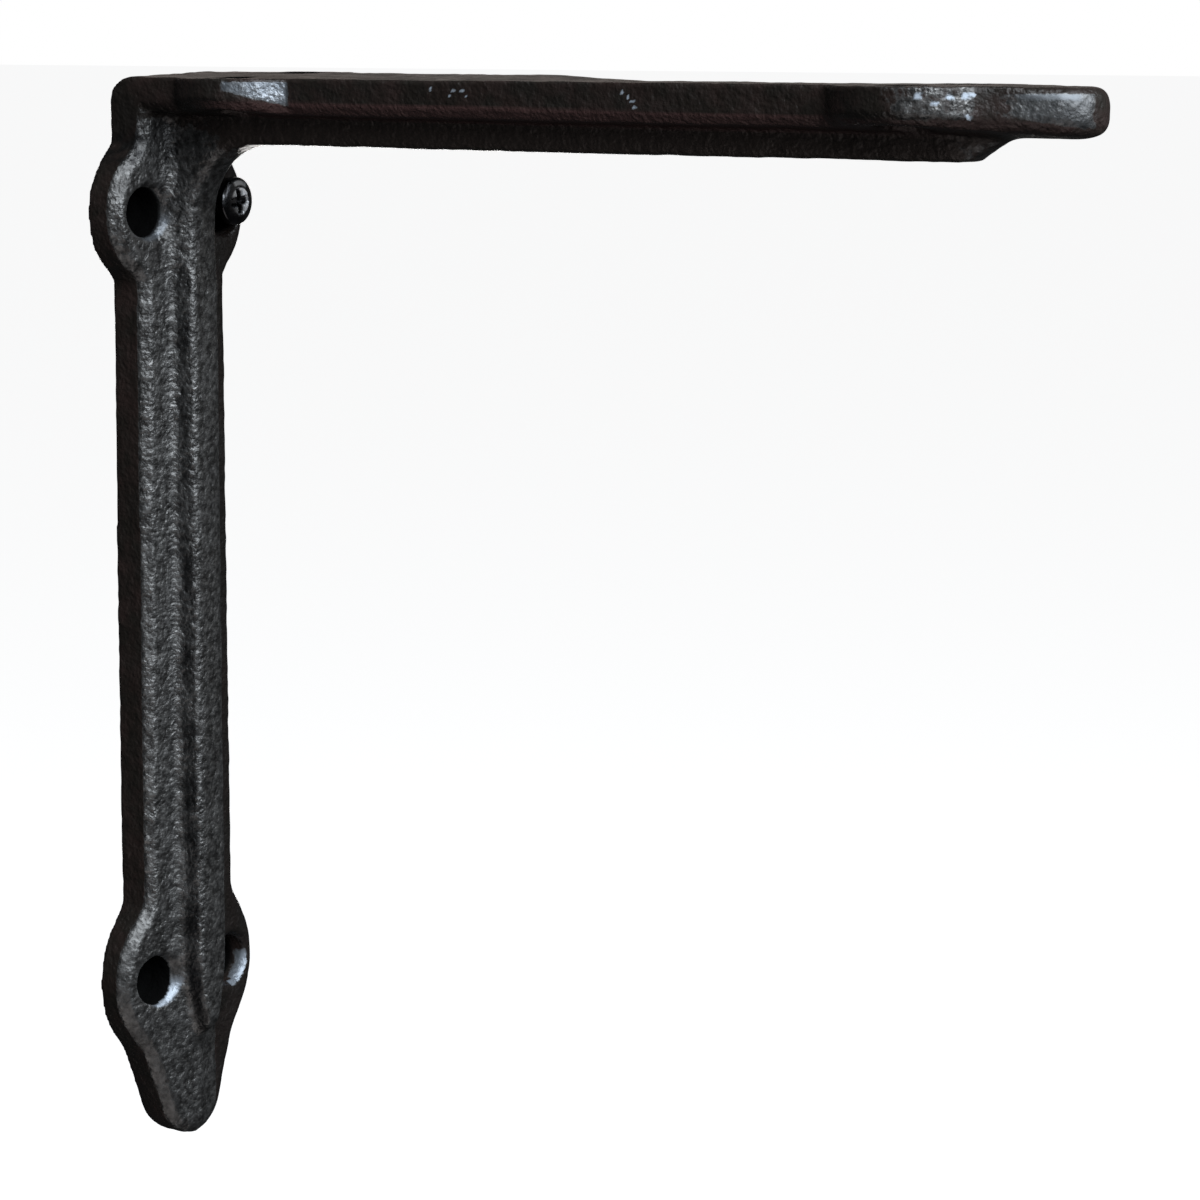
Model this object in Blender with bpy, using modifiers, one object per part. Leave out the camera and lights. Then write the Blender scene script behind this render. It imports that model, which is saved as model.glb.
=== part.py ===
"""A plain cast iron shelf bracket: wall leg, shelf arm and centre rib in one casting, and one screw.

Metres, +Z up. The wall face of the leg is the plane x = 0 and the arm reaches out along +X, with its
shelf face on top. The origin is on the wall face, on the centre line, half way down the leg.
"""

import math

import bmesh
import bpy

LEG_LENGTH = 0.1506          # from the shelf face down to the tip of the leg
ARM_LENGTH = 0.1448          # from the wall face out to the tip of the arm
LEG_THICKNESS = (0.0074, 0.0069)   # plate of the leg on its centre line: at the bend, at the tip
ARM_THICKNESS = (0.0063, 0.0069)
LEG_CROWN = (0.18, 0.08)     # what the inner face falls for each metre from the centre line, at -Y and +Y
ARM_CROWN = (0.13, 0.08)
HALF_WIDTH = 0.0084          # half the width of both plates at the bend
WIDTH_GAIN = 0.0005          # what that half width gains between the near ears and the far ears
CORNER_RADIUS = 0.0038       # outer corner of the bend

BEVELS = (0.0009, 0.0013)    # bevel round the inner edge: along the straight, round the ears and tongue
BEVEL_REACHES = (0.006, 0.016)     # from the middle of an ear: how far it stays wide, where it is narrow
TIP_ROLL = (0.0013, 0.0022)  # rounding of the tip's outer edge: across the plate, and into it
TIP_ROLL_LENGTH = 0.008      # the stretch over which that rounding grows

LEG_EARS = (0.0190, 0.1266)  # distances of the two pairs of ears from the outer corner
ARM_EARS = (0.0209, 0.1222)
EAR_REACHES = (0.0134, 0.0138)    # centre line to the outer edge of a near ear and of a far ear
EAR_RADII = (0.0106, 0.0125)
LEG_EAR_BLENDS = (0.0012, 0.0022)  # how softly the ears grow out of the straight edge
ARM_EAR_BLENDS = (0.0008, 0.0010)

TONGUE_LENGTH = 0.0130       # the narrowing end beyond the far ears
TONGUE_ROOT = 0.0088         # half width where the tongue begins
TONGUE_TAPER = 0.36          # half width lost for each metre of tongue

HOLE_OFFSET = 0.0079         # centre line to the axis of a screw hole
HOLE_RADII = (0.0033, 0.0029)      # at the foot of the countersink, at the outer face
SINK_DEPTHS = (0.0007, 0.0012)     # countersinks of the holes at -Y and at +Y, on the holes' axes
SINK_FLARE = 0.6             # what a countersink's radius gains for each metre of its depth

RIB_SECTION = (              # half the rib's section: across, and share of the way from root to crest
    (0.0044, 0.0), (0.00355, 0.35), (0.00315, 0.80), (0.00285, 0.93), (0.0023, 1.0),
)
RIB_LEG_DEPTH = (0.0098, 0.0097)   # wall face to the crest: at the bend, at the far ears
RIB_ARM_DEPTH = (0.0097, 0.0098)   # shelf face to the crest, in the same way
RIB_FILLET = 0.0107          # crest radius in the inner corner
LEG_RIB_STOP = 0.0134        # tip of the leg to the end of the rib
ARM_RIB_STOP = 0.0101
LEG_RIB_END = (0.0040, 0.0140)     # length over which the rib slopes down, length over which it narrows
ARM_RIB_END = (0.0080, 0.0100)
RIB_NOSE = 0.15              # share of the rib's width left at its end
RIB_SUNK = 0.0008            # how far the nose runs into the plate
RIB_ROOTED = 0.0014          # how far the root lies below the plate's surface on the centre line

SCREW_HEAD_RADIUS = 0.0033
SCREW_HEAD_HEIGHT = 0.0019
SCREW_HEAD_EDGE = 0.0010     # height of the upright edge below the dome
SCREW_STANDOFF = 0.0007      # the head isn't driven home: from the plate's face up to its underside
SCREW_SHANK_RADIUS = 0.0016
SCREW_OFFSET = 0.0084        # centre line to the screw's axis, which isn't quite the hole's
SCREW_RISE = 0.0011          # the shank rides this far above the middle of its hole
RECESS_SPAN = 0.0036         # cross recess, from end to end of a slot
RECESS_SLOT = 0.0009
RECESS_DEPTH = 0.0012
SHANK_END = 0.0003           # how far the shank stops short of the wall face

OUTLINE_STEP = 0.0011        # spacing of the outline's points along an ear
TIP_STEPS = 8                # points in a quarter turn of the round tip, the corners and the screw
ROLL_STEPS = 3
CORNER_STEPS = 14            # points of the rib's crest round the inner corner
SLOPE_STEPS = 6
TURN_STEPS = 32
SHELF_Z = LEG_LENGTH / 2

# A limb is one leg of the bracket: its length, its plate and its ears, measured from the outer corner.
LEG = dict(
    name="leg", length=LEG_LENGTH, thickness=LEG_THICKNESS, crown=LEG_CROWN, ears=LEG_EARS,
    blends=LEG_EAR_BLENDS, rib=RIB_LEG_DEPTH, rib_stop=LEG_RIB_STOP, rib_end=LEG_RIB_END,
)
ARM = dict(
    name="arm", length=ARM_LENGTH, thickness=ARM_THICKNESS, crown=ARM_CROWN, ears=ARM_EARS,
    blends=ARM_EAR_BLENDS, rib=RIB_ARM_DEPTH, rib_stop=ARM_RIB_STOP, rib_end=ARM_RIB_END,
)


def clear_scene():
    """Empty the scene of the objects that a new file brings."""
    for old in list(bpy.context.scene.objects):
        bpy.data.objects.remove(old, do_unlink=True)


def collection(name):
    """A new collection in the scene."""
    made = bpy.data.collections.new(name)
    bpy.context.scene.collection.children.link(made)
    return made


def material(name, colour, roughness, metallic):
    """A Principled material."""
    made = bpy.data.materials.new(name)
    made.use_nodes = True
    shader = made.node_tree.nodes["Principled BSDF"]
    shader.inputs["Base Color"].default_value = (*colour, 1.0)
    shader.inputs["Roughness"].default_value = roughness
    shader.inputs["Metallic"].default_value = metallic
    return made


def new_object(name, mesh, home, finish=None):
    """An object for a mesh, in its collection, with its material."""
    made = bpy.data.objects.new(name, mesh)
    home.objects.link(made)
    if finish is not None:
        mesh.materials.append(finish)
    return made


def as_helper(obj):
    """Show a cutter or a blank as wire, and keep it out of renders."""
    obj.hide_render = True
    obj.display_type = 'WIRE'
    return obj


def on_limb(limb, along, across, depth):
    """The point that lies this far along a limb, across it, and in from its outer face."""
    if limb is LEG:
        return (depth, across, SHELF_Z - along)
    return (along, across, SHELF_Z - depth)


def smooth_max(first, second, blend):
    """The larger of two lengths, rounded off where they are closer than the blend."""
    near = max(blend - abs(first - second), 0.0) / blend
    return max(first, second) + near * near * blend / 4


def tip_radius():
    """Radius of the round tip that both edges of the tongue run into."""
    cosine = 1 / math.hypot(1, TONGUE_TAPER)
    return cosine * (TONGUE_ROOT - TONGUE_TAPER * TONGUE_LENGTH) / (1 - cosine * TONGUE_TAPER)


def thickness_at(limb, along, across=0.0):
    """Thickness of a plate, which changes evenly from bend to tip and falls away from the centre line."""
    first, last = limb["thickness"]
    crown = limb["crown"][0] if across < 0 else limb["crown"][1]
    return first + (last - first) * along / limb["length"] - crown * abs(across)


def bevel_at(limb, along):
    """Size of the bevel: wide beside the near ears and from the far ears to the tip, narrow elsewhere."""
    near, far = limb["ears"]
    gap = min(abs(along - near), max(far - along, 0.0))
    wide, narrow = BEVEL_REACHES
    share = min(max((narrow - gap) / (narrow - wide), 0.0), 1.0)
    return BEVELS[0] + (BEVELS[1] - BEVELS[0]) * share


def half_width(limb, along):
    """Half the width of a plate: straight edge, then tongue, with the arcs of the ears outside them."""
    near, far = limb["ears"]
    share = min(max((along - near) / (far - near), 0.0), 1.0)
    tongue = TONGUE_ROOT - TONGUE_TAPER * (along - limb["length"] + TONGUE_LENGTH)
    width = min(HALF_WIDTH + WIDTH_GAIN * share, tongue)
    for middle, reach, radius, blend in zip(limb["ears"], EAR_REACHES, EAR_RADII, limb["blends"]):
        offset = along - middle
        if abs(offset) < radius:
            arc = reach - radius + math.sqrt(radius * radius - offset * offset)
            width = smooth_max(width, arc, blend)
    return width


def edge_points(limb):
    """One edge of a plate as (along, across) points, from the outer corner to the middle of the tip."""
    stations = [0.0]
    for middle, radius in zip(limb["ears"], EAR_RADII):
        steps = round(2 * radius / OUTLINE_STEP)
        stations += [middle + radius * (2 * i / steps - 1) for i in range(steps + 1)]
    points = [(along, half_width(limb, along)) for along in stations]
    radius = tip_radius()
    start = math.atan(TONGUE_TAPER)
    for i in range(TIP_STEPS + 1):
        angle = start + (math.pi / 2 - start) * i / TIP_STEPS
        points.append((limb["length"] - radius + radius * math.sin(angle), radius * math.cos(angle)))
    return points


def inset(points, distances):
    """The same edge with each point moved inwards, square to the edge. The first keeps its place."""
    moved = []
    for i, ((along, across), distance) in enumerate(zip(points, distances)):
        before = points[max(i - 1, 0)]
        after = points[min(i + 1, len(points) - 1)]
        run, rise = after[0] - before[0], after[1] - before[1]
        if i == len(points) - 1:
            run, rise = 0.0, -1.0
        size = math.hypot(run, rise)
        shift = 0.0 if i == 0 else distance * rise / size
        moved.append((along + shift, max(across - distance * run / size, 0.0)))
    return moved


def loop_of(edge):
    """Both edges of a plate as one closed outline, from the middle of the heel round by the tip."""
    return [(edge[0][0], 0.0)] + edge + [(along, -across) for along, across in reversed(edge[:-1])]


def stacked(limb, rings):
    """A closed solid skinned over rings of (along, across, depth), from the outer face inwards.

    The outer end is flat, and the inner end is two flat faces that meet on the centre line.
    """
    mesh = bpy.data.meshes.new(limb["name"])
    bm = bmesh.new()
    rows = [[bm.verts.new(on_limb(limb, *point)) for point in ring] for ring in rings]
    count = len(rows[0])
    for lower, upper in zip(rows, rows[1:]):
        for i in range(count):
            j = (i + 1) % count
            bm.faces.new((lower[i], lower[j], upper[j], upper[i]))
    inner = rows[-1]
    bm.faces.new(rows[0])
    bm.faces.new(inner[:count // 2 + 1])
    bm.faces.new(inner[count // 2:] + inner[:1])
    bmesh.ops.recalc_face_normals(bm, faces=bm.faces)
    bm.to_mesh(mesh)
    bm.free()
    return mesh


def plate(limb):
    """One limb's plate: a rolled outer edge at the tip, straight sides, a bevel to the crowned face."""
    edge = edge_points(limb)
    roll_start = limb["length"] - TIP_ROLL_LENGTH
    growth = [min(max((along - roll_start) / TIP_ROLL_LENGTH, 0.0), 1.0) ** 2 for along, _ in edge]
    rings = []
    for i in range(ROLL_STEPS + 1):
        angle = math.pi / 2 * i / ROLL_STEPS
        shifts = [TIP_ROLL[0] * (1 - math.sin(angle)) * share for share in growth]
        depth = TIP_ROLL[1] * (1 - math.cos(angle))
        rings.append([(*point, depth) for point in loop_of(inset(edge, shifts))])
    top_edge = inset(edge, [bevel_at(limb, along) for along, _ in edge])
    rings.append([
        (along, across, thickness_at(limb, along, across) - bevel_at(limb, along))
        for along, across in loop_of(edge)
    ])
    rings.append([(*point, thickness_at(limb, *point)) for point in loop_of(top_edge)])
    return stacked(limb, rings)


def crest_depth(limb, along):
    """Depth of the rib's crest along a limb: nearly level, then an S-shaped slope into the plate."""
    foot = limb["length"] - limb["rib_stop"]
    first, last = limb["rib"]
    level = first + (last - first) * min(along / foot, 1.0)
    drop = level - thickness_at(limb, foot) + RIB_SUNK
    runout = limb["rib_end"][0]
    share = min(max((along - foot + runout) / (runout + RIB_SUNK), 0.0), 1.0)
    return level - drop * share * share * (3 - 2 * share)


def rib_rows():
    """Rows of the rib from the arm's end to the leg's: (root point, crest point, share of the width)."""
    rows = {}
    start = {"arm": LEG["rib"][0] + RIB_FILLET, "leg": ARM["rib"][0] + RIB_FILLET}
    for limb in (ARM, LEG):
        foot = limb["length"] - limb["rib_stop"]
        runout, taper = limb["rib_end"]
        slope = [foot - runout * i / SLOPE_STEPS for i in range(SLOPE_STEPS)]
        slope += [foot - runout - (taper - runout) * i / SLOPE_STEPS for i in range(SLOPE_STEPS + 1)]
        rows[limb["name"]] = []
        for along in [foot + RIB_SUNK] + slope + [start[limb["name"]]]:
            done = min(max((along - foot + taper) / taper, 0.0), 1.0)
            root = on_limb(limb, along, 0.0, thickness_at(limb, along) - RIB_ROOTED)
            crest = on_limb(limb, along, 0.0, crest_depth(limb, along))
            rows[limb["name"]].append((root, crest, 1 - (1 - RIB_NOSE) * done ** 1.6))
    corner = []
    centre_x = start["arm"]
    centre_z = SHELF_Z - start["leg"]
    inner = (LEG_THICKNESS[0] - RIB_ROOTED, 0.0, SHELF_Z - ARM_THICKNESS[0] + RIB_ROOTED)
    for i in range(1, CORNER_STEPS):
        angle = math.pi / 2 * (1 + i / CORNER_STEPS)
        crest = (centre_x + RIB_FILLET * math.cos(angle), 0.0, centre_z + RIB_FILLET * math.sin(angle))
        corner.append((inner, crest, 1.0))
    return rows["arm"] + corner + rows["leg"][::-1]


def rib():
    """The centre rib: flanks that flare at the root, and a wide flat crest with rounded edges."""
    mesh = bpy.data.meshes.new("rib")
    bm = bmesh.new()
    section = list(RIB_SECTION) + [(-across, share) for across, share in reversed(RIB_SECTION)]
    rows = []
    for root, crest, width in rib_rows():
        row = []
        for across, share in section:
            x = root[0] + (crest[0] - root[0]) * share
            z = root[2] + (crest[2] - root[2]) * share
            row.append(bm.verts.new((x, across * width, z)))
        rows.append(row)
    count = len(section)
    for first, second in zip(rows, rows[1:]):
        for i in range(count):
            j = (i + 1) % count
            bm.faces.new((first[i], first[j], second[j], second[i]))
    bm.faces.new(rows[0])
    bm.faces.new(rows[-1])
    bmesh.ops.remove_doubles(bm, verts=bm.verts, dist=1e-6)
    bmesh.ops.triangulate(bm, faces=bm.faces)
    bmesh.ops.recalc_face_normals(bm, faces=bm.faces)
    bm.to_mesh(mesh)
    bm.free()
    return mesh


def corner_cutter():
    """The sliver outside the rounded outer corner, as a prism across the bracket."""
    margin = CORNER_RADIUS
    profile = [(-margin, margin), (-margin, -CORNER_RADIUS)]
    for i in range(TIP_STEPS + 1):
        angle = math.pi - math.pi / 2 * i / TIP_STEPS
        profile.append((CORNER_RADIUS * (1 + math.cos(angle)), CORNER_RADIUS * (math.sin(angle) - 1)))
    profile.append((CORNER_RADIUS, margin))
    mesh = bpy.data.meshes.new("corner_cutter")
    bm = bmesh.new()
    half = HALF_WIDTH + margin
    face = bm.faces.new([bm.verts.new((x, -half, SHELF_Z + z)) for x, z in profile])
    grown = bmesh.ops.extrude_face_region(bm, geom=[face])
    moved = [item for item in grown["geom"] if isinstance(item, bmesh.types.BMVert)]
    bmesh.ops.translate(bm, verts=moved, vec=(0, 2 * half, 0))
    bmesh.ops.recalc_face_normals(bm, faces=bm.faces)
    bm.to_mesh(mesh)
    bm.free()
    return mesh


def turned(name, profile, home, finish=None):
    """A solid turned about its own Z axis from (radius, height) points, listed from the top down."""
    mesh = bpy.data.meshes.new(name)
    edges = [(i, i + 1) for i in range(len(profile) - 1)]
    mesh.from_pydata([(radius, 0.0, height) for radius, height in profile], edges, [])
    made = new_object(name, mesh, home, finish)
    spin = made.modifiers.new("Turn", 'SCREW')
    spin.steps = TURN_STEPS
    spin.render_steps = TURN_STEPS
    spin.use_merge_vertices = True
    spin.merge_threshold = 0.00001
    spin.use_normal_calculate = False
    return made


def hole_cutter(limb, along, side, home):
    """A through hole that narrows towards the outer face, with a countersink at the inner face."""
    thickness = thickness_at(limb, along, side * HOLE_OFFSET)
    sink = SINK_DEPTHS[0] if side < 0 else SINK_DEPTHS[1]
    over = 0.0009
    draft = (HOLE_RADII[0] - HOLE_RADII[1]) / (thickness - sink)
    profile = [
        (0.0, thickness + over),
        (HOLE_RADII[0] + SINK_FLARE * (sink + over), thickness + over),
        (HOLE_RADII[0], thickness - sink),
        (HOLE_RADII[1] - draft * over, -over),
        (0.0, -over),
    ]
    made = turned("hole_cutter", profile, home)
    made.location = on_limb(limb, along, side * HOLE_OFFSET, 0.0)
    made.rotation_euler = (0, math.pi / 2, 0) if limb is LEG else (math.pi, 0, 0)
    return as_helper(made)


def add_boolean(obj, name, operation, operand):
    """A Boolean modifier with another object, or with every object of a collection."""
    cut = obj.modifiers.new(name, 'BOOLEAN')
    cut.operation = operation
    cut.solver = 'EXACT'
    if isinstance(operand, bpy.types.Collection):
        cut.operand_type = 'COLLECTION'
        cut.collection = operand
    else:
        cut.object = operand
    return cut


def build_casting(home, helpers, hole_cutters, finish):
    """The one-piece casting: both plates and the rib joined, the corner rounded, the holes cut."""
    casting = new_object("bracket_casting", plate(LEG), home, finish)
    arm = as_helper(new_object("arm_blank", plate(ARM), helpers))
    centre_rib = as_helper(new_object("rib_blank", rib(), helpers))
    corner = as_helper(new_object("corner_cutter", corner_cutter(), helpers))
    for limb in (LEG, ARM):
        for along in limb["ears"]:
            for side in (-1, 1):
                hole_cutter(limb, along, side, hole_cutters)
    add_boolean(casting, "Arm", 'UNION', arm)
    add_boolean(casting, "Rib", 'UNION', centre_rib)
    add_boolean(casting, "Corner", 'DIFFERENCE', corner)
    add_boolean(casting, "Holes", 'DIFFERENCE', hole_cutters)


def build_screw(home, recess_cutters, finish):
    """The screw left in one hole of the wall leg: a domed head with a cross recess, on a plain shank."""
    dome = SCREW_HEAD_HEIGHT - SCREW_HEAD_EDGE
    along = LEG_EARS[0] - SCREW_RISE
    underside = thickness_at(LEG, along, SCREW_OFFSET) + SCREW_STANDOFF
    shank_length = underside - SHANK_END
    profile = []
    for i in range(TIP_STEPS + 1):
        angle = math.pi / 2 * i / TIP_STEPS
        profile.append((SCREW_HEAD_RADIUS * math.sin(angle), SCREW_HEAD_EDGE + dome * math.cos(angle)))
    profile += [
        (SCREW_HEAD_RADIUS, 0.0),
        (SCREW_SHANK_RADIUS, 0.0),
        (SCREW_SHANK_RADIUS, -shank_length),
        (0.0, -shank_length),
    ]
    screw = turned("screw", profile, home, finish)
    x, y, z = on_limb(LEG, along, SCREW_OFFSET, underside)
    screw.location = (x, y, z)
    screw.rotation_euler = (0, math.pi / 2, 0)
    for turn in (0, math.pi / 2):
        mesh = bpy.data.meshes.new("recess_cutter")
        bm = bmesh.new()
        bmesh.ops.create_cube(bm, size=1)
        bmesh.ops.scale(bm, vec=(2 * RECESS_DEPTH, RECESS_SPAN, RECESS_SLOT), verts=bm.verts)
        bm.to_mesh(mesh)
        bm.free()
        slot = as_helper(new_object("recess_cutter", mesh, recess_cutters))
        slot.location = (x + SCREW_HEAD_HEIGHT, y, z)
        slot.rotation_euler = (math.radians(20) + turn, 0, 0)
    add_boolean(screw, "Recess", 'DIFFERENCE', recess_cutters)


def main():
    clear_scene()
    home = collection("cast_iron_shelf_bracket")
    helpers = collection("cutters")
    hole_cutters = collection("hole_cutters")
    recess_cutters = collection("recess_cutters")
    iron = material("cast_iron", (0.030, 0.026, 0.023), 0.55, 0.5)
    black_screw = material("black_screw", (0.012, 0.012, 0.013), 0.25, 0.8)
    build_casting(home, helpers, hole_cutters, iron)
    build_screw(home, recess_cutters, black_screw)


main()
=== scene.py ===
"""Looks of a cast iron shelf bracket: the sand-cast skin of the casting, and the screw left in it."""

import math

import bpy
import numpy as np
from mathutils import Matrix, Vector


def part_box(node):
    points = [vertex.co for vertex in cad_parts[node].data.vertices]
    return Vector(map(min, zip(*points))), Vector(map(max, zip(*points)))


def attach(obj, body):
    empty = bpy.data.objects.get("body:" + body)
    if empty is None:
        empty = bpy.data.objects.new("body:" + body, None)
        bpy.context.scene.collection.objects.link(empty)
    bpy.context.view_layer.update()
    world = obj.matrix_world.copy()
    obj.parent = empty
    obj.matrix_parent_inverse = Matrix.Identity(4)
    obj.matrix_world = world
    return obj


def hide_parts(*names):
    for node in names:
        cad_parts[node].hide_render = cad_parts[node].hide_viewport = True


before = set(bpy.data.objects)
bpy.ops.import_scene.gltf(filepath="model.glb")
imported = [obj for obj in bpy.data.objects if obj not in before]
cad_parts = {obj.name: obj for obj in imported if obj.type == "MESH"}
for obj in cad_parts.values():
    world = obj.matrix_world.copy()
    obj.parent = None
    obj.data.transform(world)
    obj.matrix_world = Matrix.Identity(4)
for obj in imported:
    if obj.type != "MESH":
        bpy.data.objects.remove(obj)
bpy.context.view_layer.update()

MM = 0.001
SHELF_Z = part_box("bracket_casting")[1].z

# The camera, as it stood to the bracket. Angles in degrees, lengths in millimetres.
VIEW_YAW = 33.13
VIEW_PITCH = 8.91
VIEW_ROLL = 0.18
FOCAL_PIXELS = 3613.0
PHOTO_SIZE = 1200
CORNER_PIXEL = (148.9, 75.4)     # where the photograph shows the top of the corner, half way across
CORNER_DEPTH = 498.3
CORNER_DROP = 0.6                # how far that point lies below the highest edge of the shelf face
SENSOR_WIDTH = 36.0

# The studio. Lengths in metres, power in watts.
LIGHT_TARGET = (0.03, 0.0, 0.0)
LIGHT_DISTANCE = 0.8
LIGHTS = (                       # name, direction from the bracket, width and height, power, colour
    ("key", (0.74, -0.27, 0.62), (1.0, 0.9), 17.0, (0.88, 0.94, 1.0)),
    ("fill", (0.70, 0.70, 0.17), (0.6, 0.6), 0.25, (1.0, 0.96, 0.92)),
    ("rim", (-0.54, 0.83, 0.28), (0.6, 0.4), 0.45, (1.0, 0.88, 0.80)),
    ("bounce", (0.25, -0.55, -0.80), (0.8, 0.8), 1.6, (1.0, 0.92, 0.90)),
    ("back", (-0.68, 0.73, -0.08), (0.3, 0.3), 4.2, (1.0, 0.97, 0.94)),
)
FLOOR_REACH = 40.0
FLOOR_Z = -0.4
FLOOR_GLOW = 0.9
AIR_COLOUR = (0.92, 0.96, 1.0, 1.0)
AIR_STRENGTH = 0.045

# The casting, in millimetres: x is out from the wall, y across, and below is down from the shelf face.
LEG_EARS = (19.0, 126.6)         # the leg's screw holes, below the shelf face
ARM_EARS = (20.9, 122.2)         # the arm's screw holes, out from the wall
HOLE_OFFSET = 7.9                # centre line to the axis of a screw hole
HOLE_REACH = 3.45                # radius that takes in the whole wall of a hole
HOLE_DEPTH = 6.6                 # outer face to the foot of the countersink, or a little more
FLASH = 0.90                     # how far rough metal closes in on a hole near its outer face
FLASH_DEPTHS = (0.3, 2.0)        # depths from the outer face between which that metal ends
HOLE_SHADE_DEPTHS = (5.0, 6.4)           # depths between which the painted shade inside a hole ends
LIT_HOLE_SHADE_DEPTHS = (3.0, 4.4)       # the same in the leg's far lower hole, whose wall catches light, so its painted shade ends sooner
ARM_END = 144.8                  # wall to the tip of the arm
RIB_SIDES = (5.5, 7.0)           # where the rounding of the rib fades out, from the centre line
OFF_WALL = (5.0, 6.5)            # from inside the leg's plate to its inner face
ON_LEG = 8.0                     # the leg's plate is nearer to the wall than this
ARM_STEP = (60.0, 76.0)          # beyond this stretch of the arm the whole of it lies lower
ARM_DROP = 0.60
TOP_TILT = 0.65                  # up to there, the fall of the shelf face from its far to its near edge
HALF_WIDTH = 8.4                 # of the shelf face, for that tilt
TOP_LAYER = 4.0                  # depth below the shelf face at which tilt and drop have faded out
BOX_MARGIN = 1e-6                # metres kept between the skin and the box of the solid

# The net of the skin, and how it is rounded.
SKIN_CELL = 0.43
EVEN_PASSES = 4
EASE_PASSES = 2
ROUND_PASSES = 26
TIP_ROUND = (ARM_END - 9.0, ARM_END - 3.0)
RIB_END = (129.5, 138.5)         # the slope in which the arm's rib ends
CORNER_ROUND = (10.0, 26.0)      # the inner corner, below the shelf face
CORNER_OUT = (14.0, 20.0)        # and out from the wall
LEG_RIB_TOP = 12.0               # the crest of the leg's rib is nearer to the wall than this
LEG_RIB_CELL = 7.0               # the stretches of that crest which are rounded more or less

# Uneven surface of the casting: (cell of the noise, height), in millimetres.
WAVES = ((16.0, 0.08), (6.0, 0.05), (2.4, 0.05), (1.1, 0.05))
WAVE_ROOM = 0.06                 # how far the middle of the waves lies under the solid's face

# Bare metal, darker patches and painted shade on the leg, and painted light under the arm, each a stretch
# over which one passes into the other.
LEG_TOP = (5.0, 8.0)             # below the shelf face, where the leg's bare metal begins
RIB_CORNER = (11.0, 15.0)        # out from the wall, where it thins out on the rib
FAR_PLATE = (3.0, 3.8)           # across, where the plate beyond the rib, painted in shade, begins
FAR_PLATE_TOP = (8.2, 8.8)       # out from the wall, where the rib's far flank begins
RIB_FOOT = (7.0, 7.6)            # out from the wall, where the rib's near flank begins
FLANK_DARK_TOP = (22.0, 32.0)          # below the shelf face, where the darker patches on that flank begin
FLANK_DARK_CELL = 2.6                  # size of its patches
SMUDGE = (4.0, 12.0)             # smudge on the bevel over the upper ear, below the shelf face
SMUDGE_HEART = (8.8, 11.6)
SMUDGE_CELL = 0.9                # size of the spots in it
BRIGHT_CORNER = (9.0, 24.0)      # patchy metal where the rib turns, below the shelf face
BRIGHT_CORNER_OUT = (11.0, 19.0)
WORN_BEVEL = (114.0, 120.0)      # below this the bevel on the leg's near side is worn smooth
LIT_UNDERSIDE_OUT = (10.0, 16.0)     # painted light: paler scale under the arm's plate, against its shadow, out from the wall
LIT_UNDERSIDE_DEPTHS = ((5.0, 6.2), (20.0, 24.0))
REDDISH_OUT = (16.0, 26.0)       # the reddish band along the arm begins, and thins out
REDDISH_FADE = (100.0, 125.0)
REDDISH_TOP = 3.7                # below the shelf face, at the wall
REDDISH_SLOPE = 0.008            # and this much lower for each millimetre along the arm
REDDISH_WIDTH = 1.9

# Painted highlights on the rims of the leg's countersinks, at their lower right where the light catches
# them:
# (below the shelf face, side, strength, outer radius, turn of the bright arc from level in radians).
RIM_INNER = 3.35
RIM_HIGHLIGHTS = (
    (LEG_EARS[0], -HOLE_OFFSET, 0.36, 3.9, 0.9),
    (LEG_EARS[1], -HOLE_OFFSET, 1.0, 4.35, 0.9),
    (LEG_EARS[1], HOLE_OFFSET, 0.8, 4.35, 0.60),
)
CHIP = (8.3, 130.2, 0.75)        # bright chip by the leg's far lower hole: across, below, radius

# Painted highlights on the arm's near side, out from the wall: bare metal with a painted sheen where the
# flanks of its ears and tip catch the light.
EAR_PATCH = ((22.6, 24.0), (30.5, 31.0))
EAR_PATCH_FLOOR = (1.7, 0.33, 23.0)   # its lower edge: depth, fall for each millimetre, and from where
OUTER_PATCH = ((119.0, 127.0), (132.0, 132.5))
OUTER_PATCH_FLOOR = (4.2, 5.2)
TONGUE_PATCH = ((132.5, 139.0), (143.9, 144.6))
TONGUE_PATCH_FLOOR = (3.6, 0.16, 133.0)
TONGUE_PATCH_TOP = (0.6, 1.1)
# painted highlight along the rounded top edge of the arm's tip: out from the wall, and depths below the
# shelf face
TIP_EDGE_HIGHLIGHT = ((134.5, 138.5), (142.8, 143.8))
TIP_EDGE_HIGHLIGHT_DEPTHS = (1.1, 1.6)

# Painted highlights where small dents on the arm's near side would catch the light: (distance from the
# wall, depth below the shelf face, radius).
GLINTS = (
    (54.0, 1.3, 0.35), (56.9, 2.3, 0.35), (57.6, 1.4, 0.40), (59.0, 1.5, 0.45), (60.2, 3.5, 0.30),
    (59.4, 2.4, 0.3), (83.3, 1.4, 0.40), (84.0, 2.2, 0.40), (84.7, 2.9, 0.35), (85.1, 3.6, 0.35),
    (83.9, 3.9, 0.30), (126.8, 1.4, 0.55), (128.6, 2.4, 0.40), (130.0, 1.5, 0.42), (131.4, 1.3, 0.42),
    (132.0, 1.2, 0.40), (131.6, 4.3, 0.36),
)

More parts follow.
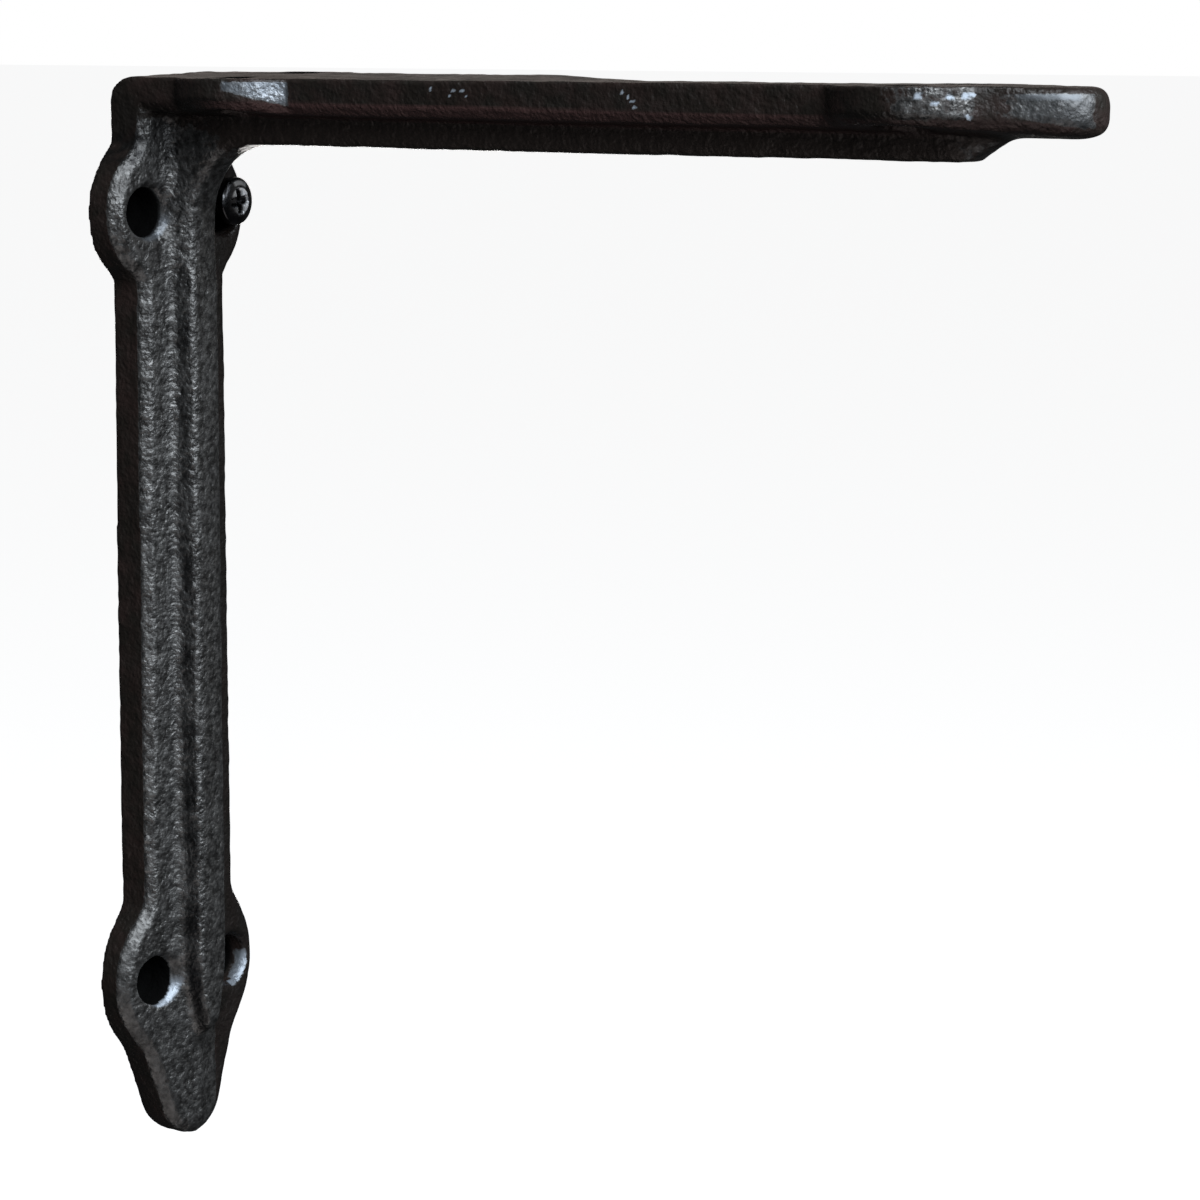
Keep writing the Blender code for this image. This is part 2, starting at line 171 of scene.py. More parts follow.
# The screw, in millimetres. Its axis is the CAD screw's.
HEAD_EDGE = 1.0                  # height of the upright edge below the dome
HEAD_HEIGHT = 1.9
EDGE_BEVEL = 0.12
SHANK_RADIUS = 1.6
SHANK_END_RADIUS = 1.5
RECESS_REACH = 2.1               # centre to the end of a slot
RECESS_HALF = 0.42               # half a slot's width
RECESS_DEPTH = 1.2
RECESS_TURN = 8.0                # degrees from upright
RUBBED = (0.85, 1.75)            # ring of bare steel round the recess, from the driver, painted near white as a highlight
HIGHLIGHT_ARC = (2.35, 2.75)        # and an arc of painted highlight near the head's edge
HIGHLIGHT_ARC_TURN = (1.05, 1.9)    # in radians
HEAD_RINGS = 64
TURN_POINTS = 256

# Patterns of the finishes, in cells per metre, and how deep their relief is, in millimetres.
FRAY_CELLS = 1000.0              # the frayed edge between metal and scale
GRAIN_CELLS = 950.0
GRAIN_DEPTH = 0.31
FINE_GRAIN_CELLS = 2200.0
FINE_GRAIN_DEPTH = 0.12
SCALE_CELLS = 220.0
MOTTLE_CELLS = 260.0             # duller and glossier places of the scale
BLACKING_CELLS = 500.0
BLACKING_RELIEF_CELLS = 700.0
BLACKING_RELIEF_DEPTH = 0.10

# Colours of the iron and the screw.
GRAIN_DARK, GRAIN_LIGHT = (0.052, 0.051, 0.050), (0.165, 0.164, 0.162)
SMOOTH_METAL = (0.078, 0.078, 0.077, 1.0)
# bright bluish metal: the colour of the painted sheen and highlights
PAINTED_SHEEN_METAL = (0.50, 0.57, 0.66, 1.0)
# darker patches and painted shade, on the metal
DARKER_AND_SHADED_METAL = (0.012, 0.012, 0.013, 1.0)
SCALE_DARK, SCALE_LIGHT = (0.0115, 0.0092, 0.0074), (0.021, 0.013, 0.0112)
# darker patches and painted shade, on the scale
DARKER_AND_SHADED_SCALE = (0.0035, 0.0030, 0.0026, 1.0)
# painted light: paler scale under the arm's plate
LIT_UNDERSIDE_SCALE = (0.026, 0.019, 0.016, 1.0)
REDDISH_SCALE = (0.060, 0.031, 0.029, 1.0)
# painted shade: the black inside the holes
HOLE_SHADE_BLACK = (0.003, 0.003, 0.003, 1.0)
BLACKING_DARK, BLACKING_LIGHT = (0.030, 0.030, 0.032), (0.075, 0.076, 0.08)
# near-white steel of the screw's head: bare steel, and a painted highlight
BARE_STEEL_AND_HIGHLIGHT = (0.85, 0.86, 0.88, 1.0)


def numpy_mesh(name, points, faces):
    """A mesh from an array of points and an array of faces, all of one size."""
    mesh = bpy.data.meshes.new(name)
    size = faces.shape[1]
    mesh.vertices.add(len(points))
    mesh.vertices.foreach_set("co", points.astype(np.float32).ravel())
    mesh.loops.add(faces.size)
    mesh.loops.foreach_set("vertex_index", faces.astype(np.int32).ravel())
    mesh.polygons.add(len(faces))
    mesh.polygons.foreach_set("loop_start", np.arange(0, faces.size, size, dtype=np.int32))
    mesh.update(calc_edges=True)
    mesh.validate()
    return mesh


def ring_faces(rings, count):
    """Quads between rings of count points each, numbered ring by ring."""
    ring, point = np.meshgrid(np.arange(rings - 1), np.arange(count), indexing="ij")
    following = (point + 1) % count
    corners = (ring * count + point, ring * count + following,
               (ring + 1) * count + following, (ring + 1) * count + point)
    return np.stack([corner.ravel() for corner in corners], axis=1)


def smoothstep(low, high, value):
    """0 below low, 1 above high, and an even S between them."""
    share = np.clip((value - low) / (high - low), 0.0, 1.0)
    return share * share * (3 - 2 * share)


def band(low, high, ease, value):
    """1 between low and high, easing to 0 over that distance outside them."""
    return smoothstep(low - ease, low, value) * (1 - smoothstep(high, high + ease, value))


def stretch(start, end, value):
    """1 on a stretch that rises over the pair start and falls again over the pair end."""
    return smoothstep(*start, value) * (1 - smoothstep(*end, value))


def lattice_noise(points, cell, seed):
    """Smooth random heights from -1 to 1: random values on a cubic lattice of that cell, eased between."""
    size = 64
    values = np.random.default_rng(seed).uniform(-1, 1, (size, size, size))
    place = points / cell
    base = np.floor(place).astype(int)
    share = place - base
    share = share * share * (3 - 2 * share)
    total = np.zeros(len(points))
    for corner in np.ndindex(2, 2, 2):
        index = (base + corner) % size
        weight = np.prod(np.where(np.array(corner), share, 1 - share), axis=1)
        total += weight * values[index[:, 0], index[:, 1], index[:, 2]]
    return total


def vertex_arrays(mesh):
    """Positions and normals of a mesh's vertices, as arrays."""
    count = len(mesh.vertices)
    places = np.empty(count * 3, np.float32)
    normals = np.empty(count * 3, np.float32)
    mesh.vertices.foreach_get("co", places)
    mesh.vertex_normals.foreach_get("vector", normals)
    return places.reshape(-1, 3).astype(float), normals.reshape(-1, 3).astype(float)


def in_millimetres(places):
    """How far each place is out from the wall, across, and below the shelf face."""
    x, y, z = places.T / MM
    return x, y, SHELF_Z / MM - z


def even_net(node):
    """The node's solid cut into an even net of small cells, with its edges eased by a few passes."""
    copy = bpy.data.objects.new("net", node.data.copy())
    bpy.context.scene.collection.objects.link(copy)
    weld = copy.modifiers.new("Weld", 'WELD')
    weld.merge_threshold = 0.01 * MM
    net = copy.modifiers.new("Net", 'REMESH')
    net.mode = 'VOXEL'
    net.voxel_size = SKIN_CELL * MM
    even = copy.modifiers.new("Even", 'SMOOTH')
    even.factor = 0.5
    even.iterations = EVEN_PASSES
    back = copy.modifiers.new("Back to the solid", 'SHRINKWRAP')
    back.target = node
    ease = copy.modifiers.new("Ease", 'SMOOTH')
    ease.factor = 0.5
    ease.iterations = EASE_PASSES
    graph = bpy.context.evaluated_depsgraph_get()
    mesh = bpy.data.meshes.new_from_object(copy.evaluated_get(graph))
    mesh.name = "casting_skin"
    bpy.data.objects.remove(copy, do_unlink=True)
    return mesh


def rounding(places):
    """How strongly each place is rounded: the arm's tip, the rib's end, the inner corner, the leg's rib."""
    x, y, below = in_millimetres(places)
    middle = 1 - smoothstep(*RIB_SIDES, np.abs(y))
    tip = smoothstep(*TIP_ROUND, x)
    rib_end = band(*RIB_END, 2.0, x) * middle
    corner = band(*CORNER_ROUND, 5.0, below) * middle * stretch(OFF_WALL, CORNER_OUT, x)
    worn = 0.35 + 0.25 * lattice_noise(places, LEG_RIB_CELL * MM, 41)
    leg_rib = worn * middle * smoothstep(*OFF_WALL, x) * (x < LEG_RIB_TOP)
    return np.max([tip, rib_end, corner, leg_rib], axis=0)


def rounded_off(mesh, places, weight):
    """The rounded places: each pass moves a vertex by half its weight towards its neighbours' mean."""
    ends = np.empty(len(mesh.edges) * 2, np.int32)
    mesh.edges.foreach_get("vertices", ends)
    first, second = ends.reshape(-1, 2).T
    count = len(places)
    number = np.bincount(first, minlength=count) + np.bincount(second, minlength=count)
    for _ in range(ROUND_PASSES):
        mean = np.empty_like(places)
        for axis in range(3):
            total = (np.bincount(first, places[second, axis], count)
                     + np.bincount(second, places[first, axis], count))
            mean[:, axis] = total / number
        places = places + 0.5 * weight[:, None] * (mean - places)
    return places


def leg_metal(x, y, below, normals):
    """Bare metal on the leg: its inner side and the rib's crest, but not the far plate."""
    facing = smoothstep(0.05, 0.35, normals[:, 0])
    far_plate = smoothstep(*FAR_PLATE, y) * (1 - smoothstep(*FAR_PLATE_TOP, x))
    open_leg = facing * (1 - far_plate) * smoothstep(*LEG_TOP, below)
    return open_leg * (1 - 0.6 * smoothstep(*RIB_CORNER, x))


def leg_darkening_and_shade(x, y, below, normals):
    """Darker places: patches on the rib's near flank, more towards the bottom, a smudge on the bevel over
    the ear, and painted shade over the far plate.
    """
    spot_places = np.stack([x, y, below], axis=1)
    # darker patches on the rib's near flank, more towards the bottom
    flank = smoothstep(0.62, 0.84, -normals[:, 1]) * smoothstep(*RIB_FOOT, x) * (np.abs(y) < 6.0)
    patches = np.clip(0.20 + 0.0035 * below + 0.75 * lattice_noise(spot_places, FLANK_DARK_CELL, 31), 0.0, 1.0)
    near = flank * smoothstep(*FLANK_DARK_TOP, below) * patches
    inward = smoothstep(0.2, 0.5, normals[:, 0])
    # painted shade over the far plate beyond the rib
    far_plate = 0.7 * smoothstep(*FAR_PLATE, y) * (1 - smoothstep(*FAR_PLATE_TOP, x)) * inward
    bevel = smoothstep(0.20, 0.45, -normals[:, 1]) * (y < -3.5) * (x < ON_LEG)
    spots = np.clip(0.35 + 0.9 * lattice_noise(spot_places, SMUDGE_CELL, 33), 0.0, 0.65)
    smudge = bevel * (0.35 * band(*SMUDGE, 2.0, below) + band(*SMUDGE_HEART, 1.2, below) * spots)
    return np.max([near, far_plate, smudge], axis=0)


def corner_metal(x, y, below, normals):
    """Patchy metal where the rib's near flank turns round the inner corner."""
    flank = smoothstep(0.45, 0.75, -normals[:, 1]) * (np.abs(y) < 6.5) * (x > 6.5)
    return 0.62 * flank * band(*BRIGHT_CORNER, 4.0, below) * (1 - smoothstep(*BRIGHT_CORNER_OUT, x))


def sloping_floor(floor, x):
    """Depth of a patch's lower edge: the floor's depth, and lower by its fall for each millimetre along."""
    depth, fall, start = floor
    return depth + fall * (x - start)


def arm_metal_and_highlights(x, below, normals):
    """Bare metal and painted highlights on the arm's near side: share of metal, how smooth it is, and how
    bright its painted sheen is.
    """
    near_side = smoothstep(0.3, 0.6, -normals[:, 1])
    wrapped = smoothstep(0.08, 0.35, -normals[:, 1])
    floor = sloping_floor(EAR_PATCH_FLOOR, x)
    ear = (near_side * stretch(*EAR_PATCH, x) * smoothstep(0.35, 0.7, below)
           * (1 - smoothstep(floor - 0.3, floor + 0.5, below)))
    outer_ear = 0.50 * near_side * stretch(*OUTER_PATCH, x) * (1 - smoothstep(*OUTER_PATCH_FLOOR, below))
    floor = sloping_floor(TONGUE_PATCH_FLOOR, x)
    tongue = (0.80 * wrapped * stretch(*TONGUE_PATCH, x) * smoothstep(*TONGUE_PATCH_TOP, below)
              * (1 - smoothstep(floor - 0.3, floor + 0.7, below)))
    # painted highlight along the tip's rounded top edge
    tip_edge_highlight = wrapped * stretch(*TIP_EDGE_HIGHLIGHT, x) * band(*TIP_EDGE_HIGHLIGHT_DEPTHS, 0.4, below)
    glint = np.zeros(len(x))
    # painted highlights where small dents would catch the light
    for place, depth, radius in GLINTS:
        away = np.hypot(x - place, below - depth) / radius
        glint = np.maximum(glint, near_side * (1 - smoothstep(0.5, 1.1, away)))
    share = np.max([glint, ear, outer_ear, tongue, 0.9 * tip_edge_highlight], axis=0)
    smooth = np.max([glint, 0.15 * ear, 0.5 * tongue, 0.9 * tip_edge_highlight], axis=0)
    painted_sheen = np.max([0.85 * glint, 0.24 * ear, 0.04 * tongue, 0.13 * tip_edge_highlight], axis=0)
    return share, smooth, painted_sheen


def rim_highlight_and_chip(x, y, below, normals):
    """Painted highlights on the rims of the leg's countersinks at their lower right, and the chip by the
    far lower hole.
    """
    rim = np.zeros(len(x))
    for along, side, strength, reach, turn in RIM_HIGHLIGHTS:
        out, down = y - side, below - along
        radius = np.maximum(np.hypot(out, down), 0.1)
        cone = band(RIM_INNER, reach, 0.3, radius)
        inward = (down * normals[:, 2] - out * normals[:, 1]) / radius
        # the painted highlight keeps to the lower right of each rim, where the light falls
        lower_right = smoothstep(0.55, 0.90, (math.cos(turn) * out + math.sin(turn) * down) / radius)
        rim = np.maximum(rim, strength * cone * smoothstep(0.25, 0.5, inward) * lower_right)
    across, depth, size = CHIP
    chip = 1 - smoothstep(0.55, 1.05, np.hypot(y - across, below - depth) / size)
    return np.maximum(rim, 0.8 * chip * smoothstep(0.2, 0.5, normals[:, 0])) * (x < ON_LEG)


def bevel_metal(x, y, below, normals):
    """The smooth worn bevel on the near side of the leg's lower ear and tongue."""
    bevel = smoothstep(0.25, 0.45, normals[:, 0]) * smoothstep(0.25, 0.50, -normals[:, 1])
    return bevel * smoothstep(*WORN_BEVEL, below) * (y < -4.0) * (x < ON_LEG)


def reddish_band(x, y, below):
    """The reddish band along both sides of the arm's plate, falling a little and thinning out outwards."""
    top = REDDISH_TOP + REDDISH_SLOPE * x
    along = smoothstep(*REDDISH_OUT, x) * band(top, top + REDDISH_WIDTH, 0.35, below) * (np.abs(y) > 3.6)
    return along * (1 - 0.7 * smoothstep(*REDDISH_FADE, x))


def finish_shares(x, y, below, normals):
    """The shares, from 0 to 1 at each place, that the iron's finish reads as attributes."""
    rim = rim_highlight_and_chip(x, y, below, normals)
    rubbed_and_highlight, smooth, painted_sheen = arm_metal_and_highlights(x, below, normals)
    bare = [leg_metal(x, y, below, normals), corner_metal(x, y, below, normals), rubbed_and_highlight, rim]
    return {
        "bare": np.max(bare, axis=0),
        "polish": np.max([smooth, 0.65 * rim, 0.45 * bevel_metal(x, y, below, normals)], axis=0),
        # painted sheen of the arm's highlights and the countersink rims
        "painted_sheen": np.max([painted_sheen, 0.50 * rim], axis=0),
        # darker patches, a smudge, and painted shade over the far plate
        "darkening_and_shade": leg_darkening_and_shade(x, y, below, normals),
        # painted light under the arm's plate
        "lit_underside": smoothstep(*LIT_UNDERSIDE_OUT, x) * stretch(*LIT_UNDERSIDE_DEPTHS, below),
        "maroon": reddish_band(x, y, below),
    }


def close_holes(places):
    """Draw the walls of the screw holes in near the outer face; the result is how dark each place is
    painted, the painted shade inside the holes.
    """
    x, y, below = in_millimetres(places)
    hole = np.zeros(len(places))
    for on_leg, along in [(True, ear) for ear in LEG_EARS] + [(False, ear) for ear in ARM_EARS]:
        run, depth = (below, x) if on_leg else (x, below)
        for side in (-HOLE_OFFSET, HOLE_OFFSET):
            across = np.stack([run - along, y - side], axis=1)
            radius = np.linalg.norm(across, axis=1)
            inside = (radius < HOLE_REACH) & (depth < HOLE_DEPTH)
            lit = on_leg and along == LEG_EARS[1] and side > 0.0
            # painted shade: black inside the hole, ending between the given depths
            hole[inside] = 1.0 - smoothstep(*(LIT_HOLE_SHADE_DEPTHS if lit else HOLE_SHADE_DEPTHS), depth[inside])
            pull = np.where(radius < HOLE_REACH, FLASH * (1 - smoothstep(*FLASH_DEPTHS, depth)), 0.0)
            shift = -across / np.maximum(radius, 0.1)[:, None] * pull[:, None] * MM
            places[:, 2 if on_leg else 0] += shift[:, 0] * (-1 if on_leg else 1)
            places[:, 1] += shift[:, 1]
    return hole


def casting_skin():
    """The casting: an even net over the solid, rounded, with its holes closed in and an uneven surface.

    The surface goes inwards along its normals by layers of noise. The shelf face is tilted and dropped."""
    mesh = even_net(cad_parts["bracket_casting"])
    places, _ = vertex_arrays(mesh)
    places = rounded_off(mesh, places, rounding(places))
    mesh.vertices.foreach_set("co", places.astype(np.float32).ravel())
    mesh.update()
    places, normals = vertex_arrays(mesh)
    x, y, below = in_millimetres(places)
    shares = finish_shares(x, y, below, normals)
    shares["hole"] = close_holes(places)
    height = np.zeros(len(places))
    for number, (cell, size) in enumerate(WAVES):
        height += size * lattice_noise(places, cell * MM, 11 + number)
    places += normals * (np.minimum(height - WAVE_ROOM, 0.0) * MM)[:, None]
    fallen = smoothstep(*ARM_STEP, x)
    tilt = np.clip((HALF_WIDTH - y) / (2 * HALF_WIDTH), 0.0, 1.0)
    fade = 1 - smoothstep(0.0, TOP_LAYER, below)
    places[:, 2] -= (TOP_TILT * tilt * (1 - fallen) + ARM_DROP * fallen) * fade * MM
    low, high = (np.array(corner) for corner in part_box("bracket_casting"))
    places = np.clip(places, low + BOX_MARGIN, high - BOX_MARGIN)
    mesh.vertices.foreach_set("co", places.astype(np.float32).ravel())
    for name, values in shares.items():
        attribute = mesh.attributes.new(name, 'FLOAT', 'POINT')
        attribute.data.foreach_set("value", values.astype(np.float32))
    mesh.shade_smooth()
    mesh.materials.clear()
    mesh.materials.append(iron_finish())
    mesh.update()
    skin = bpy.data.objects.new("casting_skin", mesh)
    bpy.context.scene.collection.objects.link(skin)
    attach(skin, "root")
    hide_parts("bracket_casting")


class Nodes:
    """A short way to add and join the nodes of one material."""

    def __init__(self, name):
        self.material = bpy.data.materials.new(name)
        self.material.use_nodes = True
        self.tree = self.material.node_tree
        self.shader = self.tree.nodes["Principled BSDF"]
        self.place = self.add("ShaderNodeTexCoord").outputs["Object"]

    def add(self, kind, settings=None, **inputs):
        """A node with its settings, and inputs that are either values or other nodes' outputs."""
        node = self.tree.nodes.new(kind)
        for key, value in (settings or {}).items():
            setattr(node, key, value)
        for key, value in inputs.items():
            self.join(value, node.inputs[key])
        return node

    def join(self, value, socket):
        """Link an output to a socket, or set the socket to a value."""
        if isinstance(value, bpy.types.NodeSocket):
            self.tree.links.new(value, socket)
        else:
            socket.default_value = value

    def share(self, name):
        """The mesh attribute of that name."""
        return self.add("ShaderNodeAttribute", {"attribute_name": name}).outputs["Fac"]

    def noise(self, scale, detail, roughness):
        """Blender's noise on object coordinates: scale is in cells per metre."""
        node = self.add("ShaderNodeTexNoise", Vector=self.place,
                        Scale=scale, Detail=detail, Roughness=roughness)
        return node.outputs["Fac"]

    def ramp(self, value, first, second):
        """A grey or a colour that passes from one stop to the other, each a position and a colour."""
        node = self.add("ShaderNodeValToRGB", Fac=value)
        for element, (position, colour) in zip(node.color_ramp.elements, (first, second)):
            element.position = position
            element.color = (*colour, 1.0)
        return node.outputs["Color"]

    def math(self, operation, first, second):
        """One arithmetic step between two values."""
        node = self.add("ShaderNodeMath", {"operation": operation})
        self.join(first, node.inputs[0])
        self.join(second, node.inputs[1])
        return node.outputs[0]

    def mix(self, share, first, second):
        """A colour between two colours."""
        node = self.add("ShaderNodeMix", {"data_type": 'RGBA'})
        self.join(share, node.inputs["Factor"])
        self.join(first, node.inputs[6])
        self.join(second, node.inputs[7])
        return node.outputs[2]

    def bump(self, height, distance, strength=1.0, normal=None):
        """A bump of that height field, whose full range is that many metres deep."""
        node = self.add("ShaderNodeBump", Strength=strength, Distance=distance, Height=height)
        if normal is not None:
            self.join(normal, node.inputs["Normal"])
        return node.outputs["Normal"]


def iron_finish():
    """Cast iron: grained metal where the skin is bare, brown-black scale elsewhere, painted shade black in
    the holes; the attributes add darker patches, painted shade, painted light and painted sheen.
    """
    n = Nodes("cast_iron_skin")
    bare, polish, painted_sheen, darkening_and_shade, lit_underside, maroon, hole = (
        n.share(name) for name in ("bare", "polish", "painted_sheen", "darkening_and_shade", "lit_underside", "maroon", "hole"))
    clear = n.math('SUBTRACT', 1.0, hole)
    grained = n.math('SUBTRACT', 1.0, polish)
    fray = n.math('MULTIPLY', n.noise(FRAY_CELLS, 3.0, 0.6), 1.1)
    edge = n.math('ADD', n.math('SUBTRACT', bare, 0.55), fray)
    share = n.ramp(edge, (0.32, (0.0, 0.0, 0.0)), (0.55, (1.0, 1.0, 1.0)))
    painted_sheen = n.math('MULTIPLY', painted_sheen, share)
    grain = n.ramp(n.noise(GRAIN_CELLS, 2.0, 0.6), (0.36, GRAIN_DARK), (0.66, GRAIN_LIGHT))
    # darker patches and painted shade on the metal
    grain = n.mix(n.math('MULTIPLY', darkening_and_shade, 0.85), grain, DARKER_AND_SHADED_METAL)
    # painted sheen: metal mixed towards a bright bluish colour where the light would catch it
    metal = n.mix(painted_sheen, n.mix(polish, grain, SMOOTH_METAL), PAINTED_SHEEN_METAL)
    scale = n.ramp(n.noise(SCALE_CELLS, 3.0, 0.6), (0.40, SCALE_DARK), (0.66, SCALE_LIGHT))
    # darker patches and painted shade on the scale
    scale = n.mix(darkening_and_shade, scale, DARKER_AND_SHADED_SCALE)
    # painted light: paler scale under the arm's plate
    scale = n.mix(lit_underside, scale, LIT_UNDERSIDE_SCALE)
    scale = n.mix(maroon, scale, REDDISH_SCALE)
    # painted shade: black in the holes
    n.join(n.mix(hole, n.mix(share, scale, metal), HOLE_SHADE_BLACK), n.shader.inputs["Base Color"])
    dull = n.math('SUBTRACT', 0.92, n.math('MULTIPLY', painted_sheen, 0.75))
    n.join(n.math('MULTIPLY', n.math('MULTIPLY', share, clear), dull), n.shader.inputs["Metallic"])
    mottle = n.math('ADD', n.math('MULTIPLY', n.noise(MOTTLE_CELLS, 3.0, 0.65), 0.5), 0.21)
    n.join(n.math('ADD', n.math('MULTIPLY', hole, 0.5), mottle), n.shader.inputs["Roughness"])
    n.join(n.math('MULTIPLY', clear, 0.30), n.shader.inputs["Specular IOR Level"])
    rough = n.math('MULTIPLY', grained, 0.9)
    coarse = n.bump(n.noise(GRAIN_CELLS, 1.5, 0.6), GRAIN_DEPTH * MM, strength=rough)
    fine = n.bump(n.noise(FINE_GRAIN_CELLS, 1.0, 0.5), FINE_GRAIN_DEPTH * MM,
                  strength=grained, normal=coarse)
    n.join(fine, n.shader.inputs["Normal"])
    return n.material


def cross_recess(y, z):
    """Share of the recess's depth at each place of the head: two crossed slots with sloping sides."""
    angle = math.radians(RECESS_TURN)
    along = y * math.cos(angle) + z * math.sin(angle)
    beside = z * math.cos(angle) - y * math.sin(angle)
    cut = np.zeros_like(y)
    for first, second in ((along, beside), (beside, along)):
        wall = 1 - smoothstep(RECESS_HALF - 0.20, RECESS_HALF + 0.40, np.abs(second))
        end = 1 - smoothstep(RECESS_REACH - 1.0, RECESS_REACH, np.abs(first))
        cut = np.maximum(cut, wall * end)
    return cut


def steel_and_highlight_share(y, z, cut):
    """Share of bare steel and painted highlight on the head: a ring round the recess, painted brighter to
    the upper right where the light falls, and a painted arc of light.
    """
    away = np.hypot(y, z)
    # painted highlight: the ring is brighter to the upper right, where the light falls
    upper_right = np.clip(0.66 + 0.28 * y + 0.16 * z, 0.10, 1.0)
    ring = band(*RUBBED, 0.25, away) * (1 - smoothstep(0.10, 0.45, cut)) * upper_right
    # painted highlight: an arc of light near the head's edge
    arc = 0.45 * band(*HIGHLIGHT_ARC, 0.25, away) * band(*HIGHLIGHT_ARC_TURN, 0.2, np.arctan2(z, y))
    return np.maximum(ring, arc)


def screw_piece():
    """The screw: rings about its axis, from the middle of the head down the shank, with a cross cut in.

    The dome's radius and height follow the sine and cosine of a quarter turn."""
    low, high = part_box("screw")
    radius = (high.y - low.y) / 2 / MM
    axis_y = (high.y + low.y) / 2 / MM
    axis_z = (high.z + low.z) / 2 / MM
    shank_start, head_top = low.x / MM, high.x / MM
    underside = head_top - HEAD_HEIGHT
    quarter = np.linspace(0, np.pi / 2, HEAD_RINGS)[1:]
    below_dome = np.array([
        (radius, underside + 0.6), (radius, underside + 0.15), (radius - EDGE_BEVEL, underside),
        (SHANK_RADIUS, underside), (SHANK_RADIUS, underside - 0.5),
        (SHANK_RADIUS, shank_start + 0.2), (SHANK_END_RADIUS, shank_start)])
    ring_radius = np.concatenate([radius * np.sin(quarter), below_dome[:, 0]])
    dome_height = underside + HEAD_EDGE + (HEAD_HEIGHT - HEAD_EDGE) * np.cos(quarter)
    ring_height = np.concatenate([dome_height, below_dome[:, 1]])
    turn = np.linspace(2 * np.pi, 0, TURN_POINTS, endpoint=False)  # this way round, faces point outwards
    y = ring_radius[:, None] * np.cos(turn)
    z = ring_radius[:, None] * np.sin(turn)
    x = np.repeat(ring_height[:, None], TURN_POINTS, axis=1)
    cut = cross_recess(y, z)
    # bare steel and painted highlight on the head
    bare = steel_and_highlight_share(y, z, cut)
    x[:HEAD_RINGS - 1] -= RECESS_DEPTH * cut[:HEAD_RINGS - 1]
    bare[HEAD_RINGS - 1:] = 0.0
    middles = np.array([[head_top - RECESS_DEPTH, axis_y, axis_z], [shank_start, axis_y, axis_z]])
    rounds = np.stack([x, y + axis_y, z + axis_z], axis=-1).reshape(-1, 3)
    points = np.concatenate([rounds, middles]) * MM
    rings = len(ring_radius)
    quads = ring_faces(rings, TURN_POINTS)
    column = np.arange(TURN_POINTS)
    following = (column + 1) % TURN_POINTS
    last = (rings - 1) * TURN_POINTS
    top = np.stack([np.full(TURN_POINTS, len(points) - 2), following, column], axis=1)
    bottom = np.stack([np.full(TURN_POINTS, len(points) - 1), last + column, last + following], axis=1)
    mesh = numpy_mesh("screw_head", points,
                      np.concatenate([quads[:, [0, 1, 2]], quads[:, [0, 2, 3]], top, bottom]))
    attribute = mesh.attributes.new("rubbed_and_highlight", 'FLOAT', 'POINT')
    attribute.data.foreach_set("value", np.append(bare.ravel(), [0.0, 0.0]).astype(np.float32))
    mesh.shade_smooth()
    mesh.materials.append(screw_finish())
    screw = bpy.data.objects.new("cross_recess_screw", mesh)
    bpy.context.scene.collection.objects.link(screw)
    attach(screw, "root")
    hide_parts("screw")


def screw_finish():
    """Blackened steel, glossy, worn bare round the recess, with painted highlights there."""
    n = Nodes("black_screw_finish")
    rubbed_and_highlight = n.share("rubbed_and_highlight")
    black = n.ramp(n.noise(BLACKING_CELLS, 2.0, 0.5), (0.40, BLACKING_DARK), (0.65, BLACKING_LIGHT))
    # bare steel painted near white and less metallic, a painted highlight
    n.join(n.mix(rubbed_and_highlight, black, BARE_STEEL_AND_HIGHLIGHT), n.shader.inputs["Base Color"])
    n.join(n.math('SUBTRACT', 1.0, n.math('MULTIPLY', rubbed_and_highlight, 0.7)), n.shader.inputs["Metallic"])
    n.shader.inputs["Roughness"].default_value = 0.24
    relief = n.bump(n.noise(BLACKING_RELIEF_CELLS, 2.0, 0.5), BLACKING_RELIEF_DEPTH * MM)
    n.join(relief, n.shader.inputs["Normal"])
    return n.material


def look_axes():
    """The camera's axes: right and up in the picture, and the way it looks."""
    yaw, pitch, roll = (math.radians(angle) for angle in (VIEW_YAW, VIEW_PITCH, VIEW_ROLL))
    right = Vector((math.cos(yaw), math.sin(yaw), 0.0))
    ahead = Vector((-math.sin(yaw) * math.cos(pitch), math.cos(yaw) * math.cos(pitch), -math.sin(pitch)))
    up = right.cross(ahead)
    turned_right = right * math.cos(roll) + up * math.sin(roll)
    turned_up = up * math.cos(roll) - right * math.sin(roll)
    return turned_right, turned_up, ahead


def add_camera():
    """The camera that sees the top of the corner at its pixel, at its distance."""
    right, up, ahead = look_axes()
    corner = Vector((0.0, 0.0, SHELF_Z - CORNER_DROP * MM))
    aside = (CORNER_PIXEL[0] - PHOTO_SIZE / 2) / FOCAL_PIXELS * CORNER_DEPTH * MM
    above = (PHOTO_SIZE / 2 - CORNER_PIXEL[1]) / FOCAL_PIXELS * CORNER_DEPTH * MM
    place = corner - right * aside - up * above - ahead * CORNER_DEPTH * MM
    lens = bpy.data.cameras.new("camera")
    lens.sensor_width = SENSOR_WIDTH
    lens.lens = FOCAL_PIXELS / PHOTO_SIZE * SENSOR_WIDTH
    lens.clip_start = 0.01
    camera = bpy.data.objects.new("camera", lens)
    turn = Matrix((right, up, -ahead)).transposed().to_4x4()
    camera.matrix_world = Matrix.Translation(place) @ turn
    bpy.context.scene.collection.objects.link(camera)
    bpy.context.scene.camera = camera


